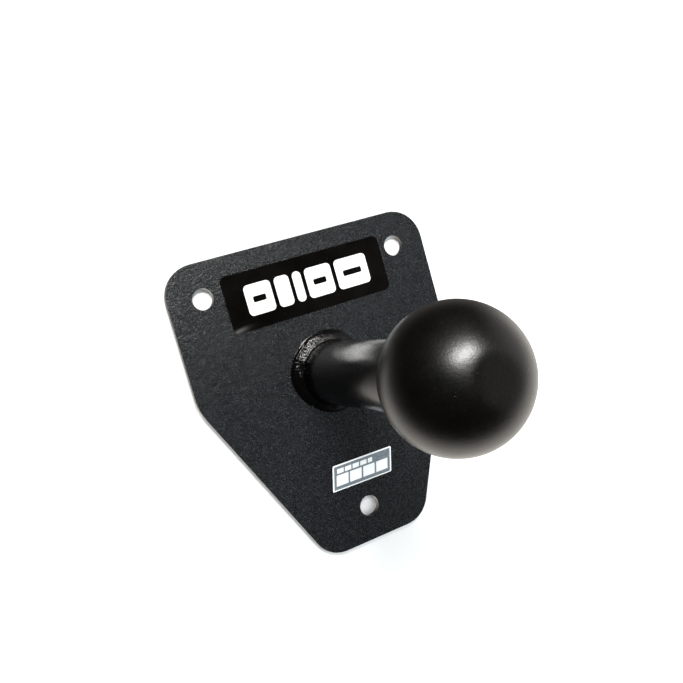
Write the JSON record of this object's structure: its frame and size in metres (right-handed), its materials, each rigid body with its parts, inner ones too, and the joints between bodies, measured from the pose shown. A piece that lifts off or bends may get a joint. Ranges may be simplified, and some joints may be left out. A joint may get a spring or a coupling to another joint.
{
  "type": "plate-mounted hitch ball",
  "caption": "Round hitch ball with a flat tip on a straight shank, fillet welded square to a thin tapered steel plate with bolt holes in its corners.",
  "frame": {"origin": "on the shank's axis at the plate's back face", "axes": "+Z along the shank from the plate to the ball; +Y in the plate, towards its wide edge with two bolt holes; +X across it"},
  "size_m": [0.1396, 0.1587, 0.1509],
  "materials": {
    "plate_coat": "black fine-textured powder coat",
    "shank_coat": "satin black over a turned surface",
    "ball_coat": "satin black with a slight orange peel",
    "weld_coat": "gloss black over a rippled weld bead",
    "ground_weld": "satin black over weld ground flush",
    "label_vinyl": "gloss black vinyl with a plain white bar pattern",
    "badge_foil": "silver-grey foil with a white rim and plain stripes"
  },
  "bodies": {
    "root": {"mounting_plate": "plate_coat", "shank": "shank_coat", "hitch_ball": "ball_coat", "front_weld_first_run": "weld_coat", "front_weld_second_run": "weld_coat", "back_weld": "ground_weld", "upper_label": "label_vinyl", "lower_badge": "badge_foil"}
  },
  "joints": []
}
